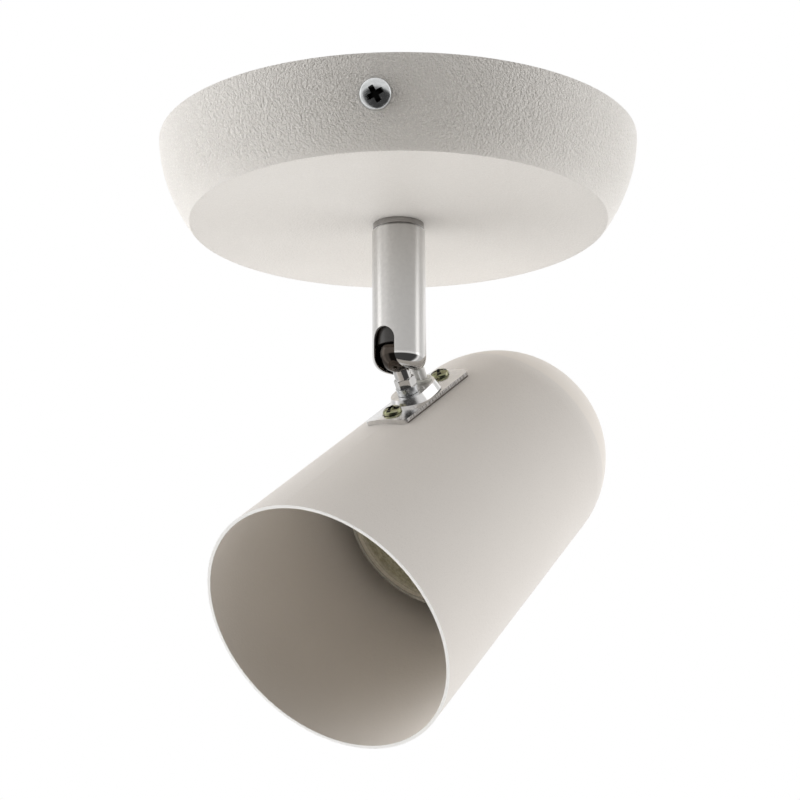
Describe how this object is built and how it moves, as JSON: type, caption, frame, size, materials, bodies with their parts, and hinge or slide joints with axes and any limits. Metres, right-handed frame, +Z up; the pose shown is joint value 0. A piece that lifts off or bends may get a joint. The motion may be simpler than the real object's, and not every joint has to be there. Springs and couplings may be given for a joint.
{
  "type": "ceiling spotlight",
  "caption": "Surface mounted ceiling spotlight: shallow round canopy, short chrome stem and a tapered tubular shade that tilts and turns on a ball stud.",
  "frame": {"origin": "centre of the canopy's rim, in the ceiling plane, on the stem's axis", "axes": "+Z up towards the ceiling, -Y towards the front, where one cover screw and the open end of the shade are at rest, +X right"},
  "size_m": [0.14, 0.1489, 0.1767],
  "materials": {
    "white_coat": "textured powder coat on sheet steel",
    "white_alloy": "fine satin powder coat on spun sheet steel",
    "chrome_plate": "polished",
    "zinc_steel": "bright zinc plated",
    "spring_steel": "plain",
    "yellow_zinc": "yellow passivated zinc",
    "brass": "turned",
    "nylon": "moulded",
    "fibre": "pressed fibre",
    "steatite": "unglazed",
    "silicone": "satin",
    "lamp_glass": "metallised inside",
    "lens_glass": "lightly textured"
  },
  "bodies": {
    "canopy": {"canopy_cover": "white_coat", "ceiling_bracket": "zinc_steel", "cover_screws": "zinc_steel", "terminal_block": "nylon", "terminal_poles": "brass", "terminal_screws": "zinc_steel", "block_screw": "zinc_steel", "earth_screw": "yellow_zinc", "earth_washer": "zinc_steel"},
    "stem": {"stem_collar": "chrome_plate", "stem_tube": "chrome_plate", "stem_bush": "brass", "threaded_nipple": "zinc_steel", "stem_locknut": "zinc_steel", "nut_washer": "zinc_steel", "friction_washer": "fibre", "thrust_pad": "nylon", "pressure_spring": "spring_steel", "spring_stop": "zinc_steel"},
    "stud": {"ball_stud": "chrome_plate", "stud_lock_washer": "chrome_plate", "pivot_washer": "spring_steel", "pivot_nut": "zinc_steel"},
    "shade": {"shade_shell": "white_alloy", "saddle_plate": "chrome_plate", "saddle_screws": "yellow_zinc", "saddle_nuts": "yellow_zinc", "lamp_carrier": "zinc_steel", "lamp_holder": "steatite", "holder_screws": "zinc_steel", "holder_contacts": "brass", "lamp_leads": "silicone", "lead_grommet": "silicone"},
    "lamp": {"lamp_reflector": "lamp_glass", "lamp_lens": "lens_glass", "lamp_cap": "steatite", "lamp_pins": "zinc_steel"}
  },
  "joints": [
    {"name": "stem_swivel", "type": "hinge", "parent": "canopy", "child": "stem", "pos_m": [0, 0, -0.0248], "axis": [0, 0, 1], "range_deg": [-170, 170]},
    {"name": "ball_tilt", "type": "hinge", "parent": "stem", "child": "stud", "pos_m": [-0.00096, -0.00115, -0.06464], "axis": [-0.766, 0.6428, 0], "range_deg": [-1, 80]},
    {"name": "shade_turn", "type": "hinge", "parent": "stud", "child": "shade", "pos_m": [-0.00096, -0.00115, -0.06464], "axis": [0.2978, 0.5696, -0.766], "range_deg": [-170, 170]},
    {"name": "lamp_twist", "type": "hinge", "parent": "shade", "child": "lamp", "pos_m": [0.01402, 0.02751, -0.10318], "axis": [-0.5076, -0.5851, -0.6324], "range_deg": [0, 18]}
  ]
}
